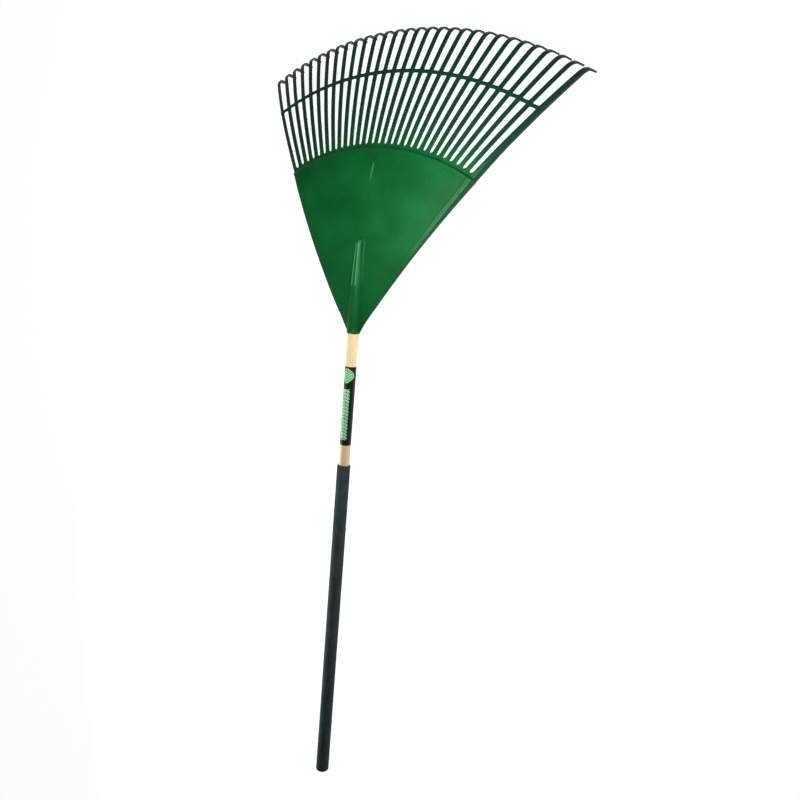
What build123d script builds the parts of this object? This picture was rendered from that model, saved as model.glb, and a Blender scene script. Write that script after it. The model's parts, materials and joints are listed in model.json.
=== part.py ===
from build123d import *
from math import atan2, cos, degrees, radians, sin, sqrt
import os

# Leaf rake lying on the ground, convex side of the head up.  Millimetres.
# Everything is first modelled along the handle: Y runs along the handle axis towards the
# head, X is across, Z points out of the head's convex side, and Y = 0 is the head's neck.
# At the end the rake is tipped so that it rests on its hook tips and on the end of its grip.

# Handle, grip and label
HANDLE_LENGTH = 1219.0
HANDLE_RADIUS = 12.0
HANDLE_NOSE_RADIUS = 5.5
SOCKET_DEPTH = 182.0
TAPER_LENGTH = 90.0
BUTT_ROUNDING = 5.0
BARE_LENGTH = 288.0
GRIP_RADIUS = 14.75
GRIP_CLEARANCE = 0.1
BUTT_SHOWING = 4.0
LABEL_TOP = 71.0
LABEL_LENGTH = 171.0
LABEL_THICKNESS = 0.25
LABEL_CLEARANCE = 0.02
LABEL_WRAP = 300.0

# Dome that the head lies on: a sphere whose top touches the handle axis plane
DOME_RADIUS = 1235.0
DOME_Y = 69.0

# Fan of tines: all centre lines start at one point on the handle axis
TINE_COUNT = 30
FAN_Y = 36.3
FAN_HALF_ANGLE = 36.44
TINE_WIDTH = 9.4
GAP_ROOT_RADIUS = 3.2
TINE_THICKNESS = 2.3
TINE_EMBED = 2.0

# Circular arcs across the fan: centre on the handle axis and radius
ROOT_ARC = (-77.0, 466.0)
BAR_ARC = (-141.0, 682.0)
BEND_ARC = (-197.7, 839.0)
BAR_WIDTH = 7.0
BAR_THICKNESS = 2.0

# Hooks at the tine ends
HOOK_LENGTH = 43.5
HOOK_RADIUS = 34.0
HOOK_SPLAY = 0.23
HOOK_TIP_WIDTH = 4.8
HOOK_TIP_THICKNESS = 4.0
STRIP_STEPS = 9
BEND_STEPS = 8

# Palm: a raised panel, a step down to a narrow root band, and the handle socket
PALM_THICKNESS = 3.0
PANEL_RISE = 2.5
STRIP_DEPTH = 1.7
ROOT_BAND = 7.5
BAND_MARGIN = 0.1
STEP_WALL = 3.0
NECK_HALF_WIDTH = 13.0
SOCKET_RADIUS = 13.8
SOCKET_CLEARANCE = 0.15
SOCKET_NOSE_RADIUS = 8.5
SOCKET_LENGTH = 196.0

# Ribs that hang from both sides of the palm and go on under the outer tines to their hooks
RIB_THICKNESS = 3.0
RIB_DEPTH = 12.0
RIB_END_DEPTH = 6.0
RIB_LEAN = 0.3
RIB_INSET = 0.3
RIB_START = 0.08
RIB_STEPS = 8
RIB_FADE = 0.7
THINNEST_RIB = 0.15
CORNER_OFFSET = 6.0
EDGE_TINE_OFFSET = 3.7
EDGE_TAPER = 70.0

# Screw that holds the head on the handle, driven from below
SCREW_Y = 38.0
SCREW_RADIUS = 2.1
SCREW_LENGTH = 16.0
SCREW_HEAD_RADIUS = 4.2
SCREW_HEAD_HEIGHT = 2.4

# Cutting prisms: half their height, half their angle about the arcs, and their reach to the neck
PRISM_HALF_HEIGHT = 300.0
PALM_HALF_ANGLE = 40.0
PALM_REACH = 400.0
CUT_OVERSHOOT = 1.0

# Depths below the dome of the root band's top and underside, and of the panel's underside
BAND_TOP = STRIP_DEPTH - TINE_THICKNESS / 2 - BAND_MARGIN
BAND_BOTTOM = STRIP_DEPTH + TINE_THICKNESS / 2 + BAND_MARGIN
PANEL_BOTTOM = PALM_THICKNESS - PANEL_RISE


def on_dome(x, y, radius=DOME_RADIUS):
    """Point above (x, y) on a sphere that shares the dome's centre."""
    drop = sqrt(radius**2 - x**2 - (y - DOME_Y) ** 2) - DOME_RADIUS
    return Vector(x, y, drop)


def reach(angle, arc):
    """Distance from the fan's start to an arc along a tine at this angle from the axis."""
    centre_y, radius = arc
    offset = FAN_Y - centre_y
    return sqrt(radius**2 - (offset * sin(angle)) ** 2) - offset * cos(angle)


def fan_point(angle, distance):
    """Plan position at a distance along a tine's centre line."""
    return distance * sin(angle), FAN_Y + distance * cos(angle)


def tine_angle(index):
    """Angle of a tine from the handle axis, in radians."""
    share = 2 * index / (TINE_COUNT - 1) - 1
    return radians(FAN_HALF_ANGLE) * share


def mix(start, end, share):
    """Value between two others."""
    return start + (end - start) * share


def ball(radius, top):
    """Sphere under the dome's summit, its top at a height, with its poles to front and back."""
    return Pos(0, DOME_Y, top - radius) * Rot(90, 0, 0) * Sphere(radius)


def shell(depth, thickness):
    """Hollow sphere with the dome's centre, its outside at a depth below the dome."""
    inner = depth + thickness
    return ball(DOME_RADIUS - depth, -depth) - ball(DOME_RADIUS - inner, -inner)


def arc_band(arc, half_angle, inner, outer):
    """Flat band along an arc of the fan, from inner to outer of it, as a tall prism."""
    centre_y, radius = arc
    ends = [radius + inner, radius + outer]
    low, high = [
        ThreePointArc(
            (-r * sin(half_angle), centre_y + r * cos(half_angle)),
            (0, centre_y + r),
            (r * sin(half_angle), centre_y + r * cos(half_angle)),
        )
        for r in ends
    ]
    sides = [Line(low @ 0, high @ 0), Line(low @ 1, high @ 1)]
    face = make_face([low, high] + sides)
    return extrude(face, PRISM_HALF_HEIGHT, both=True)


def tine_path(angle):
    """Frames down a tine: centre, direction, sideways vector, and share of the hook passed."""
    corner = reach(angle, BEND_ARC)
    hook = Vector(HOOK_SPLAY * sin(angle), 0, -1).normalized()
    radial = Vector(sin(angle), cos(angle), 0)
    dome_centre = Vector(0, DOME_Y, -DOME_RADIUS)

    def frame(distance):
        point = on_dome(*fan_point(angle, distance), DOME_RADIUS - STRIP_DEPTH)
        normal = (point - dome_centre).normalized()
        along = (radial - normal * radial.dot(normal)).normalized()
        return point, along, along.cross(normal)

    turn = frame(corner)[1].get_angle(hook)
    start = corner - HOOK_RADIUS * sin(radians(turn) / 2) / cos(radians(turn) / 2)
    root = reach(angle, ROOT_ARC) - TINE_EMBED
    frames = []
    for step in range(STRIP_STEPS + 1):
        distance = mix(root, start, step / STRIP_STEPS)
        frames.append((*frame(distance), 0.0))

    point, along, across = frames[-1][:3]
    turn = radians(along.get_angle(hook))
    inward = (hook - along * along.dot(hook)).normalized()
    bend_across = inward.cross(along)
    arc_length = HOOK_RADIUS * turn
    straight = HOOK_LENGTH - HOOK_RADIUS * sin(turn / 2) / cos(turn / 2)
    for step in range(1, BEND_STEPS + 1):
        share = step / BEND_STEPS
        bend = turn * share
        centre = point + along * (HOOK_RADIUS * sin(bend)) + inward * (HOOK_RADIUS * (1 - cos(bend)))
        direction = along * cos(bend) + inward * sin(bend)
        mixed = across * (1 - share) + bend_across * share
        sideways = (mixed - direction * mixed.dot(direction)).normalized()
        frames.append((centre, direction, sideways, arc_length * share / (arc_length + straight)))
    tip = frames[-1][0] + hook * straight
    frames.append((tip, hook, frames[-1][2], 1.0))
    return frames


def edge_section(side, width, thickness, outer, depth):
    """Section of an outer tine: the strip, with a rib that leans outwards under its outer edge."""
    top, bottom = -thickness / 2, thickness / 2
    lean = RIB_LEAN * (thickness + depth)
    corners = [
        (-width / 2, top),
        (outer, top),
        (outer + lean, bottom + depth),
        (outer + lean - RIB_THICKNESS, bottom + depth),
        (outer - RIB_THICKNESS, bottom),
        (-width / 2, bottom),
    ]
    return make_face(Polyline([(side * x, y) for x, y in corners], close=True))


def make_tine(index):
    """One tine: a flat strip over the dome that bends down into a narrow, thicker hook."""
    path = tine_path(tine_angle(index))
    root = path[0][0]
    length = (path[STRIP_STEPS][0] - root).length
    sections = []
    for centre, direction, sideways, hooked in path:
        width = mix(TINE_WIDTH, HOOK_TIP_WIDTH, hooked)
        thickness = mix(TINE_THICKNESS, HOOK_TIP_THICKNESS, min(2 * hooked, 1))
        plane = Plane(origin=centre, x_dir=sideways, z_dir=direction)
        if 0 < index < TINE_COUNT - 1:
            sections.append(plane * Rectangle(width, thickness))
            continue
        passed = (centre - root).length
        outer = mix(CORNER_OFFSET, EDGE_TINE_OFFSET, min(passed / EDGE_TAPER, 1)) * width / TINE_WIDTH
        depth = mix(RIB_DEPTH, RIB_END_DEPTH, min(passed / length, 1))
        depth *= max(1 - hooked / RIB_FADE, THINNEST_RIB / RIB_END_DEPTH)
        sections.append(plane * edge_section(1 if index else -1, width, thickness, outer, depth))
    return loft(sections, ruled=True)


def make_tines(palm):
    """All tines, each cut off where it grows out of the palm."""
    front = arc_band(ROOT_ARC, radians(PALM_HALF_ANGLE), -ROOT_BAND, GAP_ROOT_RADIUS)
    tines = {}
    for index in range(TINE_COUNT):
        inner = 0 < index < TINE_COUNT - 1
        pieces = (make_tine(index) - (front if inner else palm)).solids()
        tines[f"tine_{index + 1:02d}"] = pieces.sort_by(SortBy.VOLUME)[-1]
    return tines


def make_crossbar(tines):
    """Thin bar along an arc that ties each tine to the next one, as one link per gap."""
    centre_y, radius = BAR_ARC
    x, y = fan_point(tine_angle(TINE_COUNT - 1), reach(tine_angle(TINE_COUNT - 1), BAR_ARC))
    band = arc_band(BAR_ARC, atan2(x, y - centre_y), -BAR_WIDTH / 2, BAR_WIDTH / 2)
    return (shell(STRIP_DEPTH - BAR_THICKNESS / 2, BAR_THICKNESS) & band) - list(tines)


def palm_corner():
    """Plan position of the palm's right front corner, outside the last tine's root."""
    angle = tine_angle(TINE_COUNT - 1)
    x, y = fan_point(angle, reach(angle, ROOT_ARC))
    return x + CORNER_OFFSET * cos(angle), y - CORNER_OFFSET * sin(angle)


def make_palm_plan():
    """Tall prism over the palm: straight sides, curved front edge, round roots between tines."""
    x, y = palm_corner()
    centre_y, radius = ROOT_ARC
    front = radius + GAP_ROOT_RADIUS
    lean = atan2(x, y - centre_y)
    right = (front * sin(lean), centre_y + front * cos(lean))
    left = (-right[0], right[1])
    edge = ThreePointArc(left, (0, centre_y + front), right)
    sides = Polyline(right, (x, y), (NECK_HALF_WIDTH, 0), (-NECK_HALF_WIDTH, 0), (-x, y), left)
    plan = make_face([edge, sides])
    notches = []
    for index in range(TINE_COUNT - 1):
        angle = (tine_angle(index) + tine_angle(index + 1)) / 2
        x, y = fan_point(angle, reach(angle, ROOT_ARC) + GAP_ROOT_RADIUS)
        notches.append(Pos(x, y) * Circle(GAP_ROOT_RADIUS))
    return extrude(plan - notches, PRISM_HALF_HEIGHT, both=True)


def make_plate():
    """Raised panel with a step down to the root band, even in wall and hollow underneath."""
    plate = shell(-PANEL_RISE, PANEL_RISE + BAND_BOTTOM) & make_palm_plan()
    half_angle = radians(PALM_HALF_ANGLE)
    front = arc_band(ROOT_ARC, half_angle, -ROOT_BAND, PALM_REACH)
    plate -= shell(-PANEL_RISE - CUT_OVERSHOOT, PANEL_RISE + CUT_OVERSHOOT + BAND_TOP) & front
    back = arc_band(ROOT_ARC, half_angle, -PALM_REACH, -ROOT_BAND - STEP_WALL)
    return plate - (shell(PANEL_BOTTOM, BAND_BOTTOM) & back)


def make_side_rib():
    """Rib under the palm's right edge, leaning outwards and deeper towards the front corner."""
    corner = Vector(*palm_corner())
    neck = Vector(NECK_HALF_WIDTH, 0)
    along = (corner - neck).normalized()
    outward = along.rotate(Axis.Z, -90)
    side = (corner - neck).length
    last = 1 - (ROOT_BAND + STEP_WALL) / side
    shares = [mix(RIB_START, last, step / RIB_STEPS) for step in range(RIB_STEPS + 1)]
    stations = [(share, PANEL_BOTTOM - PALM_THICKNESS / 2) for share in shares]
    stations += [(1 - ROOT_BAND / side, STRIP_DEPTH), (1, STRIP_DEPTH)]
    sections = []
    for share, top in stations:
        grown = ((share - RIB_START) / (1 - RIB_START)) ** 1.5
        height = mix(PANEL_BOTTOM, BAND_BOTTOM + RIB_DEPTH, grown) - top
        plan = neck + along * (side * share) - outward * RIB_INSET
        plane = Plane(origin=on_dome(plan.X, plan.Y, DOME_RADIUS - top), x_dir=outward, z_dir=along)
        corners = [
            (0, 0),
            (RIB_LEAN * height, height),
            (RIB_LEAN * height - RIB_THICKNESS, height),
            (-RIB_THICKNESS, 0),
        ]
        sections.append(plane * make_face(Polyline(corners, close=True)))
    return loft(sections, ruled=True)


def turned(profile):
    """Solid turned about the handle axis from (radius, position along the axis) corners."""
    solid = revolve(make_face(Polyline(profile, close=True)), Axis.Y)
    return Rot(0, -90, 0) * solid


def make_socket():
    """Outside of the handle socket: a tube that tapers into a rounded nose."""
    taper_start = SOCKET_DEPTH - TAPER_LENGTH
    nose_y = SOCKET_LENGTH - SOCKET_NOSE_RADIUS
    side = Polyline((0, 0), (SOCKET_RADIUS, 0), (SOCKET_RADIUS, taper_start), (SOCKET_NOSE_RADIUS, nose_y))
    nose = RadiusArc(side @ 1, (0, SOCKET_LENGTH), -SOCKET_NOSE_RADIUS)
    return Rot(0, -90, 0) * revolve(make_face([side, nose, Line(nose @ 1, side @ 0)]), Axis.Y)


def handle_nose(clearance):
    """Space that the handle's tapered front end takes, grown by a clearance."""
    taper_start = SOCKET_DEPTH - TAPER_LENGTH
    return turned([
        (0, -CUT_OVERSHOOT),
        (HANDLE_RADIUS + clearance, -CUT_OVERSHOOT),
        (HANDLE_RADIUS + clearance, taper_start),
        (HANDLE_NOSE_RADIUS + clearance, SOCKET_DEPTH + clearance),
        (0, SOCKET_DEPTH + clearance),
    ])


def screw_hole():
    """Room for the screw's shank from below, square to the handle axis."""
    return Pos(0, SCREW_Y, -SOCKET_RADIUS) * Cylinder(SCREW_RADIUS, 2 * SCREW_LENGTH)


def make_palm():
    """The solid part of the head: plate, side ribs and handle socket."""
    rib = make_side_rib()
    palm = make_plate() + make_socket() + rib + mirror(rib, Plane.YZ)
    return palm - handle_nose(SOCKET_CLEARANCE) - screw_hole()


def make_handle():
    """Turned wooden pole with a rounded butt, a tapered front end and a pilot hole."""
    taper_start = SOCKET_DEPTH - TAPER_LENGTH
    butt = SOCKET_DEPTH - HANDLE_LENGTH
    pole = turned([
        (0, butt),
        (HANDLE_RADIUS, butt),
        (HANDLE_RADIUS, taper_start),
        (HANDLE_NOSE_RADIUS, SOCKET_DEPTH),
        (0, SOCKET_DEPTH),
    ])
    pole = fillet(pole.edges().sort_by(Axis.Y)[0], BUTT_ROUNDING)
    return pole - screw_hole()


def make_screw():
    """Pan-head screw from below through the socket wall into the handle."""
    shank = Pos(0, SCREW_Y, -SOCKET_RADIUS) * Cylinder(
        SCREW_RADIUS, SCREW_LENGTH, align=(Align.CENTER, Align.CENTER, Align.MIN)
    )
    head = Pos(0, SCREW_Y, -SOCKET_RADIUS) * Cylinder(
        SCREW_HEAD_RADIUS, SCREW_HEAD_HEIGHT, align=(Align.CENTER, Align.CENTER, Align.MAX)
    )
    return shank + head


def make_grip():
    """Foam tube over the lower handle."""
    end = SOCKET_DEPTH - HANDLE_LENGTH + BUTT_SHOWING
    bore = HANDLE_RADIUS + GRIP_CLEARANCE
    return turned([(bore, end), (GRIP_RADIUS, end), (GRIP_RADIUS, -BARE_LENGTH), (bore, -BARE_LENGTH)])


def make_label():
    """Thin film round the bare wood, with rounded ends and its open seam underneath."""
    inner = HANDLE_RADIUS + LABEL_CLEARANCE
    bottom = -LABEL_TOP - LABEL_LENGTH
    outer = inner + LABEL_THICKNESS
    sleeve = turned([(inner, bottom), (outer, bottom), (outer, -LABEL_TOP), (inner, -LABEL_TOP)])
    half_seam = radians(180 - LABEL_WRAP / 2)
    reach_out = 2 * outer
    seam = make_face(Polyline(
        (0, 0),
        (-reach_out * sin(half_seam), -reach_out * cos(half_seam)),
        (reach_out * sin(half_seam), -reach_out * cos(half_seam)),
        close=True,
    ))
    return sleeve - Pos(0, bottom) * extrude(Plane.XZ * seam, -LABEL_LENGTH)


def make_all():
    """Every node, along the handle."""
    palm = make_palm()
    tines = make_tines(palm)
    return {
        "palm": palm,
        **tines,
        "crossbar": make_crossbar(tines.values()),
        "handle": make_handle(),
        "head_screw": make_screw(),
        "foam_grip": make_grip(),
        "label": make_label(),
    }


def lay_down(nodes):
    """Tip the rake onto its outer hook tips and the end of its grip, over the origin."""
    corner = tine_path(tine_angle(TINE_COUNT - 1))[-1][0]
    grip_end = SOCKET_DEPTH - HANDLE_LENGTH + BUTT_SHOWING
    tilt = atan2(-GRIP_RADIUS - corner.Z, corner.Y - grip_end)
    tipped = {name: Rot(degrees(tilt), 0, 0) * node for name, node in nodes.items()}
    boxes = [node.bounding_box() for node in tipped.values()]
    back = min(box.min.Y for box in boxes)
    front = max(box.max.Y for box in boxes)
    shift = Pos(0, -(back + front) / 2, -min(box.min.Z for box in boxes))
    return {name: shift * node for name, node in tipped.items()}


os.makedirs("parts", exist_ok=True)
for name, node in lay_down(make_all()).items():
    export_step(node, f"parts/{name}.step")
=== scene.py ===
import bmesh
import bpy
import json
from math import atan2, cos, hypot, pi, radians, sin, sqrt
from mathutils import Matrix, Vector, noise


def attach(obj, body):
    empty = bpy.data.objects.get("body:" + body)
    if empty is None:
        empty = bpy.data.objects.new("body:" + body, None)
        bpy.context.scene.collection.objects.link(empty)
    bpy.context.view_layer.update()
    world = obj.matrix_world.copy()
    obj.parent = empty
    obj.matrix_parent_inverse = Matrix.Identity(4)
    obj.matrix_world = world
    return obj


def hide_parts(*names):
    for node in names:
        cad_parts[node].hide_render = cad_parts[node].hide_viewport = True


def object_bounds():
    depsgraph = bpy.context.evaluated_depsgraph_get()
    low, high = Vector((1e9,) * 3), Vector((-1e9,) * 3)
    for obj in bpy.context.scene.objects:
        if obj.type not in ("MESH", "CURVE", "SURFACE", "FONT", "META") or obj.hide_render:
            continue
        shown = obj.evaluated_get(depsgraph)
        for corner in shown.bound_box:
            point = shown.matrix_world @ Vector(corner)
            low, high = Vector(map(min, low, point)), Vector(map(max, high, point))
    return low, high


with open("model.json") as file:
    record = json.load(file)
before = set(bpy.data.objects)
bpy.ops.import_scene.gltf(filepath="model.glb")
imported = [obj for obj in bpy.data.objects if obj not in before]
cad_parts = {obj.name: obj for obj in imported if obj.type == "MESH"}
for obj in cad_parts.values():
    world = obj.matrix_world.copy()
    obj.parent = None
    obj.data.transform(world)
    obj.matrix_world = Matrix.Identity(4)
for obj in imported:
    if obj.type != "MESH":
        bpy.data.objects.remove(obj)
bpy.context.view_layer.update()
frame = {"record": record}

# Millimetres along the handle, as the CAD part is designed: Y runs along the handle axis
# towards the head, X is across, Z points out of the head's convex side, Y = 0 is its neck.

# Handle, grip and label
HANDLE_LENGTH = 1219.0
HANDLE_RADIUS = 12.0
HANDLE_NOSE_RADIUS = 5.5
SOCKET_DEPTH = 182.0
TAPER_LENGTH = 90.0
BUTT = SOCKET_DEPTH - HANDLE_LENGTH
BUTT_ROUNDING = 5.0
GRIP_RADIUS = 14.75
GRIP_BORE = 12.1
GRIP_BACK = BUTT + 4.0
GRIP_FRONT = -288.0
GRIP_ROUNDING = 1.8
LABEL_FRONT = -71.0
LABEL_BACK = -242.0
LABEL_THICKNESS = 0.25
LABEL_WRAP = 300.0
LABEL_CORNER = 11.0

# Dome that the head lies on, and the fan of tines over it
DOME_RADIUS = 1235.0
DOME_Y = 69.0
DOME_CENTRE = Vector((0, DOME_Y, -DOME_RADIUS))
TINE_COUNT = 30
FAN_Y = 36.3
FAN_HALF_ANGLE = radians(36.44)
TINE_WIDTH = 9.4
TINE_THICKNESS = 2.3
TINE_DEPTH = 1.7
ROOT_FLARE = 2.2
ROOT_FLARE_LENGTH = 3.6

# Circular arcs across the fan: centre on the handle axis and radius
ROOT_ARC = (-77.0, 466.0)
BAR_ARC = (-141.0, 682.0)
BEND_ARC = (-197.7, 839.0)
BAR_RISE = 0.7

# Hooks at the tine ends
HOOK_LENGTH = 43.5
HOOK_RADIUS = 34.0
HOOK_SPLAY = 0.23
HOOK_TIP_WIDTH = 4.8
HOOK_TIP_THICKNESS = 4.0
TIP_SHRINK = 0.75

# Palm and its handle socket
PALM_THICKNESS = 3.0
NECK_HALF_WIDTH = 14.0
SOCKET_RADIUS = 13.8
PANEL_RISE = 2.5
BAND_TOP = 0.45
BAND_BOTTOM = 2.95
ROOT_BAND = 7.5
STEP_WALL = 3.0
SOCKET_NOSE_RADIUS = 8.5
SOCKET_NOSE_Y = 187.5
SOCKET_CLEARANCE = 0.15
FILLET = 1.6
SOCKET_FALL = 4.0
RIM_HEIGHT = 0.8
RIM_SPAN = (4.4, 6.2)
NOSE_BLEND = (197.0, 215.0)
STEP_SOFTNESS = 0.9

# Relief of the palm's top: a bead by distance from the gap roots, the gate mark with its tail,
# and a border line along the sides with a rounded edge outside it
BEAD_HEIGHT = 0.9
BEAD_RISE = (-14.2, -12.2)
BEAD_FALL = (-10.2, -8.4)
GATE_Y = 349.0
NUB_HEIGHT = 1.6
NUB_SPAN = (1.0, 4.0)
TAIL_HEIGHT = 1.1
TAIL_SPAN = (0.5, 3.0)
TAIL_START = (GATE_Y - 32, GATE_Y - 24)
TAIL_END = (GATE_Y - 3, GATE_Y)
BORDER_INSET = 8.3
BORDER_HEIGHT = 0.7
BORDER_HALF_WIDTH = 1.4
BORDER_GROWTH = 3
EDGE_DROP = 1.2
EDGE_ROUNDING = 3.6

# Side ribs: along both sides of the palm and on along the outer tines to their bends
RIB_THICKNESS = 3.0
RIB_DEPTH = 12.0
RIB_END_DEPTH = 6.0
RIB_START = 20.0
RIB_LEAN = 0.3
RIB_GROWTH = 1.5
RIB_FADE = 0.7
EDGE_OFFSET = 6.0
EDGE_TINE_OFFSET = 3.7
EDGE_TAPER = 70.0
PALM_INSETS = (0.0, 1.0, 3.0, 3.7, 7.0, 8.3, 9.8)
TINE_INSETS = (0.0, 0.9, 2.7, 3.3, 4.6, 7.2, 8.4)

# Screw that holds the head on the handle, driven from below
SCREW_Y = 38.0
SCREW_RADIUS = 2.1
SCREW_LENGTH = 16.0
SCREW_HEAD_RADIUS = 4.2
SCREW_HEAD_HEIGHT = 2.4
SCREW_POINT = 3.0
RECESS_DEPTH = 1.3
RECESS_REACH = 2.1
RECESS_HALF_WIDTH = 0.55

# Mesh steps and slight unevenness of the turned shapes and the label
POLE_RINGS = 120
POLE_SEGMENTS = 64
POLE_UNEVEN = 0.1
GRIP_RINGS = 240
GRIP_SEGMENTS = 80
GRIP_CHAMFER = 0.4
GRIP_SLACK = 0.25
GRIP_SLOW_WAVE = 0.17
GRIP_QUICK_WAVE = 0.08
LABEL_STEPS = (60, 72)
LABEL_GAP = 0.03
SCREW_SEGMENTS = 96

# Rows of the head's grid: along the middle of the palm, then by distance from the gap roots
PALM_ROWS = (
    0, 2.2, 4.4, 6.2, 9, 22, 38, 56, 74, 90, 100, 112, 130, 150, 168, 178, 183, 187, 190, 192.5,
    194.5, 196, 197.5, 200, 206, 216, 232, 252, 272, 292, 308, 320, 326, 332, 338,
)
FRONT_ROWS = (
    -44, -41.5, -38, -33, -27, -21, -17.5, -15.8, -14.2, -12.8, -11.4, -10.2, -9.3, -8.5, -7.6,
    -6.6, -5, -3, 0,
)
ROOT_ROWS = (1.2, 2.6, 4.4, 10.0)
BAR_ROWS = (-5.0, -3.5, -2.6, 2.6, 3.5, 5.0)
BEND_STEPS = 8
STRAIGHT_STEPS = (0.4, 0.8, 0.97, 1.0)
BEFORE_BAR_STEPS = (0.33, 0.67)
PAST_BAR_STEPS = (0.3, 0.6, 0.85, 1.0)
BAR_START = len(ROOT_ROWS) + 2
RAISED_STEPS = (BAR_START + 2, BAR_START + 3)
FRONT_START = FRONT_ROWS[0]
MIDDLE_FRONT = ROOT_ARC[0] + ROOT_ARC[1] + FRONT_START
SOCKET_COLUMNS = 10
RIDGE_COLUMN = 2
RIDGE_HEIGHT = 0.35
RIDGE_BACK = 98.0
RIDGE_FRONT = 188.0
GATE_HALF_WIDTH = 9.0
NARROW_SHARES = (0.9, 0.1)
ROOM_SPAN = (0, 30)
SPREAD_SPAN = (-37, -3)
GAP_CUT = 0.9
GAP_CUT_SPAN = (-6, 0)
SIDE_COLUMN = 1.2
SOLVE_STEPS = 12
RIM_CREASE = 0.5
MOUTH_RING = 2


def rake_matrix():
    """From millimetres along the handle to the row frame, found from the grip's mount."""
    mounts = {mount["name"]: mount for mount in frame["record"]["mounts"]}
    grip = mounts["grip"]
    y_axis = -Vector(grip["axis"]).normalized()
    x_axis = Vector((1, 0, 0))
    turned = Matrix((x_axis, y_axis, x_axis.cross(y_axis))).transposed().to_4x4()
    neck = Vector(grip["pos_m"]) - y_axis * (GRIP_BACK + GRIP_FRONT) / 2 / 1000
    return Matrix.Translation(neck) @ turned @ Matrix.Scale(0.001, 4)


RAKE = rake_matrix()


def make_piece(name, points, faces, nodes):
    """Closed mesh from points in millimetres along the handle, in place of some CAD nodes."""
    mesh = bpy.data.meshes.new(name)
    mesh.from_pydata([RAKE @ Vector(point) for point in points], [], faces)
    shape = bmesh.new()
    shape.from_mesh(mesh)
    bmesh.ops.recalc_face_normals(shape, faces=shape.faces)
    shape.to_mesh(mesh)
    shape.free()
    mesh.polygons.foreach_set("use_smooth", [True] * len(mesh.polygons))
    piece = bpy.data.objects.new(name, mesh)
    bpy.context.scene.collection.objects.link(piece)
    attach(piece, "root")
    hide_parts(*nodes)
    return piece


def subdivide(piece, sharp, amount):
    """One level of subdivision, with some edges, given as pairs of point numbers, kept sharper."""
    wanted = {frozenset(edge) for edge in sharp}
    creases = piece.data.attributes.new("crease_edge", "FLOAT", "EDGE")
    for edge in piece.data.edges:
        if frozenset(edge.vertices) in wanted:
            creases.data[edge.index].value = amount
    modifier = piece.modifiers.new("subdivision", "SUBSURF")
    modifier.levels = 1
    modifier.render_levels = 1


def mix(a, b, share):
    """Value between a and b."""
    return a + (b - a) * share


def smooth_step(low, high, value):
    """0 below low, 1 above high, smooth between."""
    share = min(max((value - low) / (high - low), 0), 1)
    return share * share * (3 - 2 * share)


def smooth_max(a, b, width):
    """Larger of two heights, with a fillet of about this width where they cross."""
    share = min(max(0.5 + 0.5 * (a - b) / width, 0), 1)
    return mix(b, a, share) + width * share * (1 - share)


# ---------------------------------------------------------------- head


def sphere_height(x, y, radius, top):
    """Height over a plan position of a sphere under the dome's summit with its top at a height."""
    return sqrt(radius**2 - x**2 - (y - DOME_Y) ** 2) - radius + top


def dome_height(x, y, depth):
    """Height of the surface at a depth below the dome."""
    return sphere_height(x, y, DOME_RADIUS - depth, -depth)


def reach(angle, arc):
    """Distance from the fan's start to an arc along a tine at this angle from the axis."""
    centre_y, radius = arc
    offset = FAN_Y - centre_y
    return sqrt(radius**2 - (offset * sin(angle)) ** 2) - offset * cos(angle)


def tine_angle(index):
    """Angle of a tine from the handle axis; a half number is a gap."""
    return FAN_HALF_ANGLE * (2 * index / (TINE_COUNT - 1) - 1)


def root_point(index, offset):
    """Plan position on the line of the gap roots, at an offset across a tine."""
    angle = tine_angle(index)
    r = reach(angle, ROOT_ARC)
    return Vector((r * sin(angle) + offset * cos(angle), FAN_Y + r * cos(angle) - offset * sin(angle)))


PALM_CORNER = root_point(TINE_COUNT - 1, EDGE_OFFSET)
EDGE_LEAN = atan2(PALM_CORNER.x - NECK_HALF_WIDTH, PALM_CORNER.y)


def is_edge(index):
    """Whether a tine is one of the two outer ones."""
    return index in (0, TINE_COUNT - 1)


def tine_offsets(index):
    """Places of a tine's columns across its width, from left to right."""
    half = TINE_WIDTH / 2
    if not is_edge(index):
        return [-half, -half + SIDE_COLUMN, half - SIDE_COLUMN, half]
    left = [inset - EDGE_OFFSET for inset in PALM_INSETS]
    return [-offset for offset in reversed(left)] if index else left


def head_columns():
    """Columns of the grid from left to right: tine number and offset, None for mid gap."""
    columns = []
    for index in range(TINE_COUNT):
        columns += [(index, offset) for offset in tine_offsets(index)]
        columns.append((index + 0.5, None))
    return columns[:-1]


COLUMNS = head_columns()
LAST = len(COLUMNS) - 1
MIDDLE = LAST // 2


def column_offset(number, distance):
    """A column's place across its tine at a distance past the gap roots."""
    offset = COLUMNS[number][1]
    if offset is None:
        return 0.0
    inner = min(number, LAST - number)
    flare = ROOT_FLARE * max(0.0, 1 - distance / ROOT_FLARE_LENGTH) ** 2
    if inner >= len(PALM_INSETS):
        return offset + (flare if offset > 0 else -flare)
    tapered = smooth_step(0, EDGE_TAPER, distance)
    outer = mix(EDGE_OFFSET, EDGE_TINE_OFFSET, tapered)
    inset = mix(PALM_INSETS[inner], TINE_INSETS[inner], tapered)
    offset = outer - inset - (flare if inner >= len(PALM_INSETS) - 2 else 0.0)
    return -offset if number < MIDDLE else offset


def edge_inset(number):
    """Distance of a column from the side edge of the palm."""
    inner = min(number, LAST - number)
    return PALM_INSETS[inner] if inner < len(PALM_INSETS) else 2 * PALM_INSETS[-1]


def edge_x(y):
    """Plan position across of the palm's straight right side."""
    return mix(NECK_HALF_WIDTH, PALM_CORNER.x, y / PALM_CORNER.y)


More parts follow.
